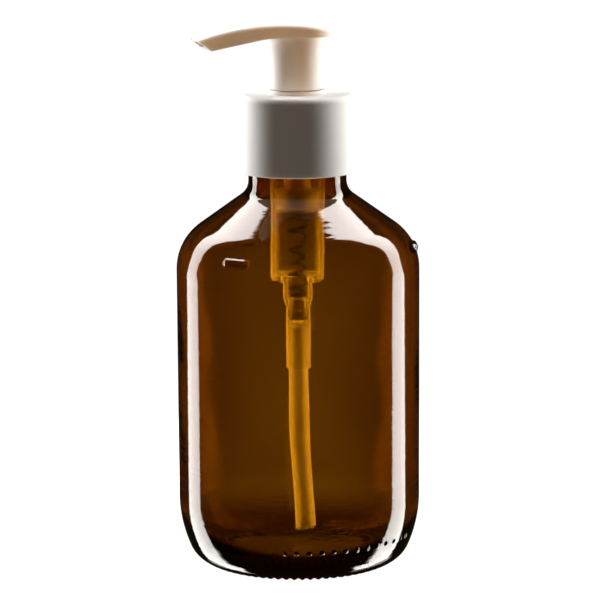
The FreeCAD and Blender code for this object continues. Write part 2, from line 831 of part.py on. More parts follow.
def spout_channel(body, arch_middle):
    """Channel along the paddle to the tip, and the passage that feeds it from the stem."""
    floor = size.paddle_floor + size.channel_floor
    roof = size.paddle_arch - size.channel_roof
    beyond = size.tip_top_reach + size.channel_end
    slope = sine(size.paddle_fall) / cosine(size.paddle_fall)
    fall = (beyond - size.paddle_bend_start - size.channel_end) * slope
    side = new_sketch(body, "channel_side", "XZ_Plane")
    draw_outline(side, "channel", [
        (size.channel_end, floor),
        (size.channel_end, arch_height(-size.channel_end, arch_middle, roof), left(roof)),
        (-beyond, arch_height(beyond, arch_middle, roof)),
        (-beyond, floor - fall),
        (-size.paddle_bend_start - size.channel_end, floor),
    ])
    extrude(body, "Pocket", "channel", side, size.channel_width, both_ways=True)
    passage = new_sketch(body, "passage_outline", "XY_Plane", size.boss_socket_top)
    draw_circle(passage, "passage", zero, zero, size.passage_radius)
    rise = floor + size.channel_floor - size.boss_socket_top
    extrude(body, "Pocket", "passage", passage, rise, reverse=True)


parts = [
    glass_bottle(),
    neck_gasket(),
    screw_collar(),
    pump_housing(),
    guide_ring(),
    dip_tube(),
    return_spring(),
    ball("inlet_ball", flange_bottom - size.inlet_seat_depth),
    pump_stem(),
    piston_seal(),
    ball("outlet_ball", size.stem_foot_height + size.outlet_seat),
    actuator_head(),
]
doc.recompute()

for item in doc.Objects:
    if "Invalid" in item.State or "Error" in item.State:
        raise RuntimeError(f"{item.Label} did not compute: {item.State}")
for part in parts:
    if part.Shape.isNull() or not part.Shape.isValid():
        raise RuntimeError(f"{part.Label} has no valid shape")

os.makedirs("parts", exist_ok=True)
for part in parts:
    part.Shape.exportStep(f"parts/{part.Label}.step")
    box = part.Shape.BoundBox
    print(f"{part.Label}: {part.Shape.Volume:.1f} mm3, solids {len(part.Shape.Solids)}, "
          f"z {box.ZMin:.2f} to {box.ZMax:.2f}")
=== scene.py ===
import math

import bmesh
import bpy
from mathutils import Matrix, Vector

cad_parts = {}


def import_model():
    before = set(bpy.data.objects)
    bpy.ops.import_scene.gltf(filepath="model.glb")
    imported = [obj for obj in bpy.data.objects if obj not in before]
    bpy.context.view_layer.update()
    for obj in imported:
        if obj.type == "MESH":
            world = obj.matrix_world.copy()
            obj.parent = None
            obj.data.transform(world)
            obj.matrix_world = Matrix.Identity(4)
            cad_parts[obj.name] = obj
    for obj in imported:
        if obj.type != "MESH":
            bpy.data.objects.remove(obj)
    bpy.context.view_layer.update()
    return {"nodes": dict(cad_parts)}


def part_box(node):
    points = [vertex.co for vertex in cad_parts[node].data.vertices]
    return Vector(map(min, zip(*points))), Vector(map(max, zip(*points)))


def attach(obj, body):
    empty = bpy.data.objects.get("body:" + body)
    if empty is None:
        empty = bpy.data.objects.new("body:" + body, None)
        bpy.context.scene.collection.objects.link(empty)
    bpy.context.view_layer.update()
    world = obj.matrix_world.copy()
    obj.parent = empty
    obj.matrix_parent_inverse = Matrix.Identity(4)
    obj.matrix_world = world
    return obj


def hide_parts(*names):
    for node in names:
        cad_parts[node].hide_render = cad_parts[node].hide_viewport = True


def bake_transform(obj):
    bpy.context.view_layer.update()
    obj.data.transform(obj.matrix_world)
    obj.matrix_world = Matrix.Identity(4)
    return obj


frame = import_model()

MM = 0.001

# Glass bottle, in millimetres. The overall sizes come from the frame.
glass_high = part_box("glass_bottle")[1]
BODY_RADIUS = glass_high.x / MM
GLASS_HEIGHT = glass_high.z / MM
WALL = 2.3
SHOULDER_HEIGHT = 82.0
SHOULDER_RADIUS = 14.7
SHOULDER_SLOPE = math.radians(35.7)
HEEL_HEIGHT = 19.0
HEEL_SIDE_RADIUS = 36.2
HEEL_CORNER_HEIGHT = 4.8
NECK_RADIUS = 13.4
NECK_FILLET = 5.0
NECK_HEIGHT = 109.2
FINISH_RADIUS = 12.7
FINISH_STEP = 0.7
LIP_ROUNDING = 0.8
BORE_RADIUS = 10.2
BORE_FILLET = 7.0
INNER_HEEL_RADIUS = 13.0
FLOOR_HEIGHT = 4.4
FLOOR_EDGE_HEIGHT = 3.0
PUNT_HEIGHT = 2.0
PUNT_EDGE_HEIGHT = 0.8
PUNT_RADIUS = 18.4
RING_INNER_RADIUS = 21.5
BOTTLE_TURN = math.radians(-51.0)

# Marks in the glass.
LUG_COUNT = 3
LUG_LENGTH = 8.2
LUG_WIDTH = 3.0
LUG_HEIGHT = 87.9
LUG_PROUD = 0.75
LUG_STEEPNESS = 0.85
LUG_EDGE = 0.6
LUG_TURN = math.radians(-90.0)
DOT_COUNT = 13
DOT_RADIUS = 0.8
DOT_PROUD = 0.4
DOT_HEIGHT = 9.4
DOT_START = math.radians(-66.6)
DOT_SPAN = math.radians(73.1)
DOT_MARGIN = math.radians(2.0)
KNURL_COUNT = 72
KNURL_DEPTH = 0.45
KNURL_INNER = 22.6
KNURL_OUTER = 28.6
KNURL_FADE = 1.2
THREAD_PITCH = 4.233
THREAD_TURNS = 1.5
THREAD_START = 117.55
THREAD_PROUD = 0.95
THREAD_HALF_WIDTH = 1.15
THREAD_ROUNDING = 1.35
THREAD_FADE = math.radians(24.0)

# Columns of the mesh around the bottle, and their spacing at the dots.
COLUMNS = 6 * KNURL_COUNT
DOT_SPACING = 0.15

# Unevenness of the wall's inside: depths of the wide, middle and fine waves, and where they fade out.
WIDE_WAVE = 0.10
MIDDLE_WAVE = 0.07
FINE_WAVE = 0.035
WAVE_TOP = SHOULDER_HEIGHT + 25.0
WAVE_FADE = 20.0
WAVE_FADE_RADIUS = 12.0


# ---- outlines ----

class Outline:
    """Radius and height of a turned shape, point by point, with arcs cut into short steps."""

    def __init__(self, radius, height):
        self.points = [(radius, height)]

    def line(self, radius, height, step):
        start = self.points[-1]
        count = max(1, math.ceil(math.dist(start, (radius, height)) / step))
        for number in range(1, count + 1):
            share = number / count
            across = start[0] + (radius - start[0]) * share
            up = start[1] + (height - start[1]) * share
            self.points.append((across, up))

    def arc(self, centre, radius, height, step):
        start = self.points[-1]
        reach = math.dist(start, centre)
        first = math.atan2(start[1] - centre[1], start[0] - centre[0])
        last = math.atan2(height - centre[1], radius - centre[0])
        turn = (last - first + math.pi) % math.tau - math.pi
        count = max(2, math.ceil(abs(turn) * reach / step))
        for number in range(1, count + 1):
            angle = first + turn * number / count
            self.points.append((centre[0] + reach * math.cos(angle), centre[1] + reach * math.sin(angle)))


def dome_radius(reach, rise):
    """Radius of the shallow arc that climbs by rise over reach and is level on the axis."""
    return (reach * reach + rise * rise) / (2 * rise)


def spin(name, points, angles, shift=None):
    """Closed mesh of an outline turned about Z, in millimetres; shift(row, angle) moves points."""
    mesh_data = bpy.data.meshes.new(name)
    mesh = bmesh.new()
    rings = []
    columns = len(angles)
    for row, (radius, height) in enumerate(points):
        if radius < 1e-6:
            rings.append([mesh.verts.new((0, 0, height * MM))])
            continue
        before = points[row - 1]
        after = points[(row + 1) % len(points)]
        normal = Vector((after[1] - before[1], before[0] - after[0])).normalized()
        ring = []
        for angle in angles:
            move = shift(row, angle) if shift else 0.0
            reach = radius + normal.x * move
            level = height + normal.y * move
            ring.append(mesh.verts.new(
                (reach * math.cos(angle) * MM, reach * math.sin(angle) * MM, level * MM)))
        rings.append(ring)
    closed = len(rings[0]) > 1
    for row in range(len(rings) if closed else len(rings) - 1):
        this, following = rings[row], rings[(row + 1) % len(rings)]
        for column in range(columns):
            beside = (column + 1) % columns
            corners = [this[column % len(this)], this[beside % len(this)],
                       following[beside % len(following)], following[column % len(following)]]
            mesh.faces.new(list(dict.fromkeys(corners)))
    bmesh.ops.recalc_face_normals(mesh, faces=mesh.faces)
    for face in mesh.faces:
        face.smooth = True
    mesh.to_mesh(mesh_data)
    mesh.free()
    piece = bpy.data.objects.new(name, mesh_data)
    bpy.context.scene.collection.objects.link(piece)
    return piece


def smooth(share):
    """Smooth step from 0 to 1 over that share, held at both ends."""
    share = min(max(share, 0.0), 1.0)
    return share * share * (3 - 2 * share)


# ---- glass bottle ----

def glass_outline():
    """The wall from the middle of the underside, up the outside, over the lip and down the inside."""
    heel_drop = HEEL_HEIGHT - HEEL_CORNER_HEIGHT
    heel_run = math.sqrt(HEEL_SIDE_RADIUS ** 2 - heel_drop ** 2)
    heel_corner_reach = BODY_RADIUS - HEEL_SIDE_RADIUS + heel_run
    heel_corner_radius = HEEL_CORNER_HEIGHT / (1 - heel_drop / HEEL_SIDE_RADIUS)
    ring_outer = heel_corner_reach - heel_corner_radius * heel_run / HEEL_SIDE_RADIUS
    sine, cosine = math.sin(SHOULDER_SLOPE), math.cos(SHOULDER_SLOPE)
    slope = sine / cosine
    shoulder_centre = BODY_RADIUS - SHOULDER_RADIUS
    foot = shoulder_centre + SHOULDER_RADIUS * sine
    foot_height = SHOULDER_HEIGHT + SHOULDER_RADIUS * cosine
    head = NECK_RADIUS + NECK_FILLET * (1 - sine)
    head_height = foot_height + (foot - head) * slope
    neck_foot = head_height + NECK_FILLET * cosine
    inner = BODY_RADIUS - WALL
    inner_shoulder = SHOULDER_RADIUS - WALL
    inner_foot = shoulder_centre + inner_shoulder * sine
    inner_foot_height = SHOULDER_HEIGHT + inner_shoulder * cosine
    inner_head = BORE_RADIUS + BORE_FILLET * (1 - sine)
    inner_head_height = inner_foot_height + (inner_foot - inner_head) * slope
    bore_foot = inner_head_height + BORE_FILLET * cosine
    floor_edge = inner - INNER_HEEL_RADIUS

    outline = Outline(0.0, PUNT_HEIGHT)
    punt = dome_radius(PUNT_RADIUS, PUNT_HEIGHT - PUNT_EDGE_HEIGHT)
    outline.arc((0.0, PUNT_HEIGHT - punt), PUNT_RADIUS, PUNT_EDGE_HEIGHT, 1.6)
    outline.line(RING_INNER_RADIUS, 0.0, 0.6)
    outline.line(ring_outer, 0.0, 0.6)
    outline.arc((ring_outer, heel_corner_radius), heel_corner_reach, HEEL_CORNER_HEIGHT, 0.35)
    heel_centre = (BODY_RADIUS - HEEL_SIDE_RADIUS, HEEL_HEIGHT)
    for height, step in ((DOT_HEIGHT - 1.0, 0.8), (DOT_HEIGHT + 1.0, DOT_SPACING), (HEEL_HEIGHT, 0.8)):
        reach = math.sqrt(HEEL_SIDE_RADIUS ** 2 - (HEEL_HEIGHT - height) ** 2)
        outline.arc(heel_centre, heel_centre[0] + reach, height, step)
    outline.line(BODY_RADIUS, SHOULDER_HEIGHT, 2.5)
    outline.arc((shoulder_centre, SHOULDER_HEIGHT), foot, foot_height, 0.4)
    outline.line(head, head_height, 1.0)
    outline.arc((NECK_RADIUS + NECK_FILLET, neck_foot), NECK_RADIUS, neck_foot, 0.5)
    outline.line(NECK_RADIUS, NECK_HEIGHT, 0.7)
    outline.line(FINISH_RADIUS, NECK_HEIGHT + FINISH_STEP, 0.4)
    outline.line(FINISH_RADIUS, GLASS_HEIGHT - LIP_ROUNDING, 0.35)
    outline.arc((FINISH_RADIUS - LIP_ROUNDING, GLASS_HEIGHT - LIP_ROUNDING),
                FINISH_RADIUS - LIP_ROUNDING, GLASS_HEIGHT, 0.2)
    outline.line(BORE_RADIUS + LIP_ROUNDING, GLASS_HEIGHT, 1.0)
    outside = len(outline.points)
    outline.arc((BORE_RADIUS + LIP_ROUNDING, GLASS_HEIGHT - LIP_ROUNDING),
                BORE_RADIUS, GLASS_HEIGHT - LIP_ROUNDING, 0.2)
    outline.line(BORE_RADIUS, bore_foot, 2.0)
    outline.arc((BORE_RADIUS + BORE_FILLET, bore_foot), inner_head, inner_head_height, 0.8)
    outline.line(inner_foot, inner_foot_height, 1.5)
    outline.arc((shoulder_centre, SHOULDER_HEIGHT), inner, SHOULDER_HEIGHT, 1.0)
    outline.line(inner, FLOOR_EDGE_HEIGHT + INNER_HEEL_RADIUS, 2.5)
    outline.arc((floor_edge, FLOOR_EDGE_HEIGHT + INNER_HEEL_RADIUS), floor_edge, FLOOR_EDGE_HEIGHT, 0.8)
    floor = dome_radius(floor_edge, FLOOR_HEIGHT - FLOOR_EDGE_HEIGHT)
    outline.arc((0.0, FLOOR_HEIGHT - floor), 0.0, FLOOR_HEIGHT, 1.6)
    outline.points[-1] = (0.0, FLOOR_HEIGHT)
    return outline.points, outside


def lug_relief(radius, height, angle):
    """Raised rounded bars on the shoulder, level with each other."""
    spacing = math.tau / LUG_COUNT
    turn = (angle - BOTTLE_TURN - LUG_TURN + spacing / 2) % spacing - spacing / 2
    half_width = LUG_WIDTH / 2
    beyond = max(abs(turn) * radius - (LUG_LENGTH / 2 - half_width), 0.0)
    distance = math.hypot(beyond, (height - LUG_HEIGHT) / LUG_STEEPNESS)
    return LUG_PROUD * smooth((half_width - distance) / (LUG_EDGE * half_width))


def thread_relief(height, angle):
    """One and a half turns of round-topped thread, fading at both ends."""
    turned = (angle - BOTTLE_TURN) % math.tau
    tallest = 0.0
    while turned <= THREAD_TURNS * math.tau:
        centre = THREAD_START + THREAD_PITCH * turned / math.tau
        ridge = smooth(THREAD_ROUNDING * (1 - abs(height - centre) / THREAD_HALF_WIDTH))
        fade = min(turned, THREAD_TURNS * math.tau - turned) / THREAD_FADE
        tallest = max(tallest, THREAD_PROUD * ridge * smooth(fade))
        turned += math.tau
    return tallest


def knurl_relief(radius, height, angle):
    """Scallops around the outside of the standing ring."""
    if height > HEEL_CORNER_HEIGHT or not KNURL_INNER < radius < KNURL_OUTER:
        return 0.0
    fade = min(radius - KNURL_INNER, KNURL_OUTER - radius) / KNURL_FADE
    around = 0.5 + 0.5 * math.cos((angle - BOTTLE_TURN) * KNURL_COUNT)
    return -KNURL_DEPTH * around * smooth(fade)


def dot_relief(radius, height, angle):
    """Small round dots in a row along part of the heel."""
    spacing = DOT_SPAN / (DOT_COUNT - 1)
    turned = (angle - BOTTLE_TURN - DOT_START) % math.tau
    number = round(turned / spacing)
    if number >= DOT_COUNT:
        return 0.0
    aside = (turned - number * spacing) * radius
    distance = math.hypot(aside, height - DOT_HEIGHT)
    if distance >= DOT_RADIUS:
        return 0.0
    return max(0.0, math.sqrt(DOT_RADIUS ** 2 - distance ** 2) - DOT_RADIUS + DOT_PROUD)


def bottle_angles():
    """Columns around the bottle, closer together where the dots are."""
    even = [math.tau * number / COLUMNS for number in range(COLUMNS)]
    start = BOTTLE_TURN + DOT_START - DOT_MARGIN
    span = DOT_SPAN + 2 * DOT_MARGIN
    smallest_gap = 0.002
    count = math.ceil(span * BODY_RADIUS / DOT_SPACING)
    close = [(start + span * number / count) % math.tau for number in range(count + 1)]
    spaced = [angle for angle in even if (angle - start) % math.tau > span + smallest_gap]
    return sorted(close + spaced)


def blown_wave(height, angle):
    """Slow unevenness that blowing leaves in the thickness of the wall."""
    wide = WIDE_WAVE * math.sin(2 * angle + 0.045 * height + 0.6)
    middle = MIDDLE_WAVE * math.sin(5 * angle - 0.06 * height + 1.9) * math.sin(0.08 * height)
    fine = FINE_WAVE * math.sin(11 * angle + 0.11 * height) * math.sin(0.13 * height + 0.7)
    return wide + middle + fine


def glass_bottle():
    """The bottle with its thread, lugs, dots and scallops outside and its uneven wall inside."""
    points, outside = glass_outline()

    def shift(row, angle):
        radius, height = points[row]
        if row >= outside:
            fade = smooth((WAVE_TOP - height) / WAVE_FADE) * smooth(radius / WAVE_FADE_RADIUS)
            return blown_wave(height, angle) * fade
        if height > NECK_HEIGHT + FINISH_STEP:
            return thread_relief(height, angle)
        marks = lug_relief(radius, height, angle) + dot_relief(radius, height, angle)
        return marks + knurl_relief(radius, height, angle)

    bottle = spin("amber_bottle", points, bottle_angles(), shift)
    bottle.data.materials.append(amber_glass())
    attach(bottle, "bottle")
    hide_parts("glass_bottle")


# ---- return spring ----

SPRING_RADIUS = 2.45
SPRING_WIRE = 0.4
SPRING_TURNS = 6.0
SPRING_CLOSED_TURNS = 1.0
SPRING_STEPS = 36
SPRING_SIDES = 10


def return_spring():
    """Coil with closed ends that stretches between the pump's floor and the plunger."""
    low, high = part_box("return_spring")
    bottom = low.z / MM + SPRING_WIRE
    top = high.z / MM - SPRING_WIRE
    turns = SPRING_TURNS + 2 * SPRING_CLOSED_TURNS
    closed_rise = 2 * SPRING_WIRE * SPRING_CLOSED_TURNS
    mesh = bmesh.new()
    rings = []
    count = int(turns * SPRING_STEPS)
    for number in range(count + 1):
        turned = number / SPRING_STEPS
        if turned < SPRING_CLOSED_TURNS:
            height = bottom + closed_rise * turned / SPRING_CLOSED_TURNS
        elif turned > turns - SPRING_CLOSED_TURNS:
            height = top - closed_rise * (turns - turned) / SPRING_CLOSED_TURNS
        else:
            share = (turned - SPRING_CLOSED_TURNS) / SPRING_TURNS
            height = bottom + closed_rise + (top - bottom - 2 * closed_rise) * share
        angle = math.tau * turned
        ring = []
        for side in range(SPRING_SIDES):
            around = math.tau * side / SPRING_SIDES
            reach = SPRING_RADIUS + SPRING_WIRE * math.cos(around)
            level = height + SPRING_WIRE * math.sin(around)
            ring.append(mesh.verts.new(
                (reach * math.cos(angle) * MM, reach * math.sin(angle) * MM, level * MM)))
        rings.append(ring)
    for this, following in zip(rings, rings[1:]):
        for side in range(SPRING_SIDES):
            beside = (side + 1) % SPRING_SIDES
            mesh.faces.new([this[side], this[beside], following[beside], following[side]])
    mesh.faces.new(rings[0])
    mesh.faces.new(rings[-1][::-1])
    bmesh.ops.recalc_face_normals(mesh, faces=mesh.faces)
    for face in mesh.faces:
        face.smooth = True
    data = bpy.data.meshes.new("coil_spring")
    mesh.to_mesh(data)
    mesh.free()
    spring = bpy.data.objects.new("coil_spring", data)
    bpy.context.scene.collection.objects.link(spring)
    spring.data.materials.append(spring_steel())
    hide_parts("return_spring")
    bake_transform(spring)


# ---- materials ----

AMBER = (0.72, 0.58, 0.0, 1.0)
AMBER_DENSITY = 1930.0
GLASS_IOR = 1.52
GLASS_ROUGHNESS = 0.02
PLASTIC_IOR = 1.49
GLOSS_VARIATION = 0.05
STEEL_SMOOTHER = 0.06
STEEL_ROUGHER = 0.08
MILKY = (0.95, 0.93, 0.88, 1)
MILKY_SHADE = (0.90, 0.88, 0.82, 1)
FACING_BLEND = 0.5
FACING_CLEAR = 0.35
FACING_CLOUDED = 0.85
GLOW_DEPTH = 0.002
GLOW_COLOURS = (1.0, 0.8, 0.6)

# Noise scales per metre, and depths of the bumps in metres.
GLASS_CLOUD_SCALE = 60.0
WAVE_SCALE = 45.0
WAVE_DEPTH = 0.00006
RIPPLE_SCALE = 80.0
RIPPLE_FLATNESS = 12.0
RIPPLE_DEPTH = 0.00004
PLASTIC_CLOUD_SCALE = 90.0
GLOSS_SCALE = 400.0
GRAIN_SCALE = 1500.0
GRAIN_DEPTH = 0.00001
STEEL_SCALE = 700.0


def new_material(name):
    """Node material with its nodes, links and shader."""
    material = bpy.data.materials.new(name)
    material.use_nodes = True
    nodes = material.node_tree.nodes
    return material, nodes, material.node_tree.links, nodes["Principled BSDF"]


def noise(nodes, links, scale, detail, flatness=1.0):
    """Noise over the piece's own place, pressed flat in height by that factor."""
    place = nodes.get("Place") or nodes.new("ShaderNodeTexCoord")
    place.name = "Place"
    flattened = nodes.new("ShaderNodeMapping")
    flattened.inputs["Scale"].default_value = (1.0, 1.0, flatness)
    links.new(place.outputs["Object"], flattened.inputs["Vector"])
    texture = nodes.new("ShaderNodeTexNoise")
    texture.inputs["Scale"].default_value = scale
    texture.inputs["Detail"].default_value = detail
    links.new(flattened.outputs["Vector"], texture.inputs["Vector"])
    return texture.outputs["Fac"]


def spread(nodes, links, value, low, high, start=0.0, end=1.0):
    """Maps start..end to low..high."""
    ramp = nodes.new("ShaderNodeMapRange")
    ramp.inputs["From Min"].default_value = start
    ramp.inputs["From Max"].default_value = end
    ramp.inputs["To Min"].default_value = low
    ramp.inputs["To Max"].default_value = high
    links.new(value, ramp.inputs["Value"])
    return ramp.outputs["Result"]


def bump(nodes, links, value, depth, normal):
    """Bumps that feed that normal socket; more of them can feed the socket returned."""
    bumps = nodes.new("ShaderNodeBump")
    bumps.inputs["Distance"].default_value = depth
    bumps.inputs["Strength"].default_value = 1.0
    links.new(value, bumps.inputs["Height"])
    links.new(bumps.outputs["Normal"], normal)
    return bumps.inputs["Normal"]


def amber_glass():
    """Clear glass coloured by its depth, with slow waves and fine level ripples."""
    material, nodes, links, shader = new_material("amber_glass")
    shader.inputs["Base Color"].default_value = (1.0, 1.0, 1.0, 1.0)
    shader.inputs["Transmission Weight"].default_value = 1.0
    shader.inputs["IOR"].default_value = GLASS_IOR
    cloud = noise(nodes, links, GLASS_CLOUD_SCALE, 3.0)
    links.new(spread(nodes, links, cloud, 0.0, GLASS_ROUGHNESS), shader.inputs["Roughness"])
    waves = noise(nodes, links, WAVE_SCALE, 1.0)
    ripples = noise(nodes, links, RIPPLE_SCALE, 2.0, RIPPLE_FLATNESS)
    below = bump(nodes, links, waves, WAVE_DEPTH, shader.inputs["Normal"])
    bump(nodes, links, ripples, RIPPLE_DEPTH, below)
    absorption = nodes.new("ShaderNodeVolumeAbsorption")
    absorption.inputs["Color"].default_value = AMBER
    absorption.inputs["Density"].default_value = AMBER_DENSITY
    links.new(absorption.outputs["Volume"], nodes["Material Output"].inputs["Volume"])
    return material


def moulded(name, colour, shade, roughness, translucency=0.0, glow=0.0):
    """Moulded plastic with a faint cloudiness in its colour and a fine uneven gloss."""
    material, nodes, links, shader = new_material(name)
    mix = nodes.new("ShaderNodeMix")
    mix.data_type = "RGBA"
    mix.inputs["A"].default_value = colour
    mix.inputs["B"].default_value = shade
    links.new(noise(nodes, links, PLASTIC_CLOUD_SCALE, 4.0), mix.inputs["Factor"])
    links.new(mix.outputs["Result"], shader.inputs["Base Color"])
    gloss = noise(nodes, links, GLOSS_SCALE, 3.0)
    rough = spread(nodes, links, gloss, roughness - GLOSS_VARIATION, roughness + GLOSS_VARIATION)
    links.new(rough, shader.inputs["Roughness"])
    shader.inputs["IOR"].default_value = PLASTIC_IOR
    shader.inputs["Transmission Weight"].default_value = translucency
    shader.inputs["Subsurface Weight"].default_value = glow
    shader.inputs["Subsurface Radius"].default_value = GLOW_COLOURS
    shader.inputs["Subsurface Scale"].default_value = GLOW_DEPTH
    bump(nodes, links, noise(nodes, links, GRAIN_SCALE, 2.0), GRAIN_DEPTH, shader.inputs["Normal"])
    return material


def clear_moulded(name, roughness, clearness, edge_clearness):
    """Milky see-through plastic, more clouded where the wall is seen edge on."""
    material = moulded(name, MILKY, MILKY_SHADE, roughness)
    nodes, links = material.node_tree.nodes, material.node_tree.links
    facing = nodes.new("ShaderNodeLayerWeight")
    facing.inputs["Blend"].default_value = FACING_BLEND
    seen = facing.outputs["Facing"]
    clear = spread(nodes, links, seen, clearness, edge_clearness, FACING_CLEAR, FACING_CLOUDED)
    links.new(clear, nodes["Principled BSDF"].inputs["Transmission Weight"])
    return material


def steel(name, colour, roughness):
    """Metal with a fine uneven gloss."""
    material, nodes, links, shader = new_material(name)
    shader.inputs["Base Color"].default_value = colour
    shader.inputs["Metallic"].default_value = 1.0
    gloss = noise(nodes, links, STEEL_SCALE, 3.0)
    rough = spread(nodes, links, gloss, roughness - STEEL_SMOOTHER, roughness + STEEL_ROUGHER)
    links.new(rough, shader.inputs["Roughness"])
    return material


def white_plastic():
    return moulded("white_plastic", (0.90, 0.89, 0.87, 1), (0.86, 0.85, 0.83, 1), 0.55, glow=0.2)


def head_plastic():
    return moulded("head_plastic", (0.93, 0.90, 0.86, 1), (0.89, 0.86, 0.82, 1), 0.5, glow=0.5)


def soft_plastic():
    return moulded("soft_plastic", (0.93, 0.92, 0.88, 1), (0.89, 0.88, 0.84, 1), 0.45, translucency=0.2)


def foam():
    return moulded("foam", (0.93, 0.93, 0.91, 1), (0.86, 0.86, 0.84, 1), 0.75)


def housing_plastic():
    return clear_moulded("housing_plastic", 0.05, 0.98, 0.2)


def tube_plastic():
    return clear_moulded("tube_plastic", 0.25, 0.85, 0.3)


def ball_steel():
    return steel("ball_steel", (0.60, 0.60, 0.61, 1.0), 0.1)


def spring_steel():
    return steel("spring_steel", (0.24, 0.22, 0.2, 1.0), 0.4)


def dress(material, *names):
    """Give CAD nodes their finish."""
    for name in names:
        piece = frame["nodes"][name]
        piece.data.materials.clear()
        piece.data.materials.append(material)


def dress_all():
    dress(white_plastic(), "screw_collar", "guide_ring")
    dress(housing_plastic(), "pump_housing")
    dress(tube_plastic(), "dip_tube")
    dress(soft_plastic(), "piston_seal")
    dress(foam(), "neck_gasket")
    dress(head_plastic(), "pump_stem", "actuator_head")
    dress(ball_steel(), "inlet_ball", "outlet_ball")


# ---- camera ----

CAMERA_AZIMUTH = math.radians(-20.0)
CAMERA_REACH = 0.862
CAMERA_HEIGHT = 0.234
AIM_HEIGHT = 0.0729
AIM_RIGHT = 0.0005
CAMERA_LENS = 191.4
CAMERA_ROLL = math.radians(0.35)


def direction_towards(turn):
    """Level direction at that azimuth: 0 is -Y, and it grows towards +X."""
    return Vector((math.sin(turn), -math.cos(turn), 0.0))


def camera():
    back = direction_towards(CAMERA_AZIMUTH)
    right = direction_towards(CAMERA_AZIMUTH + math.pi / 2)
    place = back * CAMERA_REACH + Vector((0, 0, CAMERA_HEIGHT))
    aim = right * AIM_RIGHT + Vector((0, 0, AIM_HEIGHT))
    level = (place - aim).to_track_quat("Z", "Y").to_matrix().to_4x4()
    data = bpy.data.cameras.new("camera")
    data.lens = CAMERA_LENS
    data.sensor_width = 36.0
    viewer = bpy.data.objects.new("camera", data)
    viewer.matrix_world = Matrix.Translation(place) @ level @ Matrix.Rotation(-CAMERA_ROLL, 4, "Z")
    bpy.context.scene.collection.objects.link(viewer)
    bpy.context.scene.camera = viewer


# ---- lights ----

# Two tall soft boxes stand beside and a little behind the bottle, alike about this direction.
BOX_AXIS = CAMERA_AZIMUTH + math.radians(-5.0)
BOX_ANGLE = math.radians(115.0)
BOX_DISTANCE = 1.4
BOX_WIDTH = 0.50
BOX_HEIGHT = 2.6
BOX_MIDDLE = 0.65
BOX_BRIGHTNESS_LEFT = 16.0
BOX_BRIGHTNESS_RIGHT = 12.7

# Light on the pump inside the bottle, warm from the glass it has come through.
INNER_ANGLE = math.radians(105.0)
INNER_BRIGHTNESS_LEFT = 41.0
INNER_BRIGHTNESS_RIGHT = 29.0
INNER_COLOUR = (1.0, 0.72, 0.2)
INNER_NODES = ("pump_housing", "dip_tube", "piston_seal", "pump_stem")
OPAQUE_NODES = ("screw_collar", "guide_ring", "neck_gasket", "piston_seal", "inlet_ball", "outlet_ball")

# Light that comes through the thin walls of the head, and what the shoulder throws up on the collar's foot.
HEAD_NODES = ("actuator_head", "pump_stem", "guide_ring")
HEAD_FILL_AZIMUTH = CAMERA_AZIMUTH + math.radians(25.0)
HEAD_FILL_DISTANCE = 1.2
HEAD_FILL_HEIGHT = 0.1
HEAD_FILL_SIZE = 0.9
HEAD_FILL_BRIGHTNESS = 1.6
HEAD_FILL_COLOUR = (1.0, 0.54, 0.22)
UNDER_FILL_HEIGHT = -1.0
UNDER_FILL_SIZE = 0.15
UNDER_FILL_BRIGHTNESS = 80.0
UNDER_FILL_COLOUR = (1.0, 0.8, 0.6)

# Soft light from above.
TOP_PLACE = Vector((0.0, 0.3, 1.3))
TOP_SIZE = 1.2
TOP_BRIGHTNESS = 1.3
TOP_COLOUR = (1.0, 0.98, 0.96)

# The fills and the top light are turned to the top of the bottle.
FILL_AIM = Vector((0, 0, 0.12))


def area_light(name, place, aim, width, height, brightness, colour=(1.0, 1.0, 1.0)):
    """Light for matt surfaces only: glass and gloss see what the world shows instead."""
    data = bpy.data.lights.new(name, "AREA")
    data.shape = "RECTANGLE"
    data.size = width
    data.size_y = height
    data.energy = brightness * math.pi * width * height
    data.color = colour
    light = bpy.data.objects.new(name, data)
    light.location = place
    light.rotation_euler = (place - aim).to_track_quat("Z", "Y").to_euler()
    light.visible_camera = False
    light.visible_glossy = False
    light.visible_transmission = False
    bpy.context.scene.collection.objects.link(light)
    return light


def linked_nodes(name, nodes):
    """Collection of CAD nodes for a light to fall on or be stopped by."""
    group = bpy.data.collections.new(name)
    for node in nodes:
        group.objects.link(frame["nodes"][node])
    return group


def only_for(light, lit, shading):
    """Light that falls on the first nodes alone and is stopped by the others alone."""
    light.light_linking.receiver_collection = linked_nodes(light.name + "_lit", lit)
    light.light_linking.blocker_collection = linked_nodes(light.name + "_shading", shading)


def soft_box(name, turn, brightness, colour=(1.0, 1.0, 1.0)):
    """Tall light at that azimuth, for what a box throws on matt surfaces."""
    middle = Vector((0, 0, BOX_MIDDLE))
    place = direction_towards(turn) * BOX_DISTANCE + middle
    return area_light(name, place, middle, BOX_WIDTH, BOX_HEIGHT, brightness, colour)


def inner_light(name, turn, brightness):
    """Light that has come through the amber wall; the clear parts cast no shadow in it."""
    only_for(soft_box(name, turn, brightness, INNER_COLOUR), INNER_NODES, OPAQUE_NODES)


def fill(name, place, size, brightness, colour):
    """Square light turned to the top of the bottle."""
    return area_light(name, place, FILL_AIM, size, size, brightness, colour)


def head_fill():
    place = direction_towards(HEAD_FILL_AZIMUTH) * HEAD_FILL_DISTANCE + Vector((0, 0, HEAD_FILL_HEIGHT))
    light = fill("head_fill", place, HEAD_FILL_SIZE, HEAD_FILL_BRIGHTNESS, HEAD_FILL_COLOUR)
    only_for(light, HEAD_NODES, ("neck_gasket",))


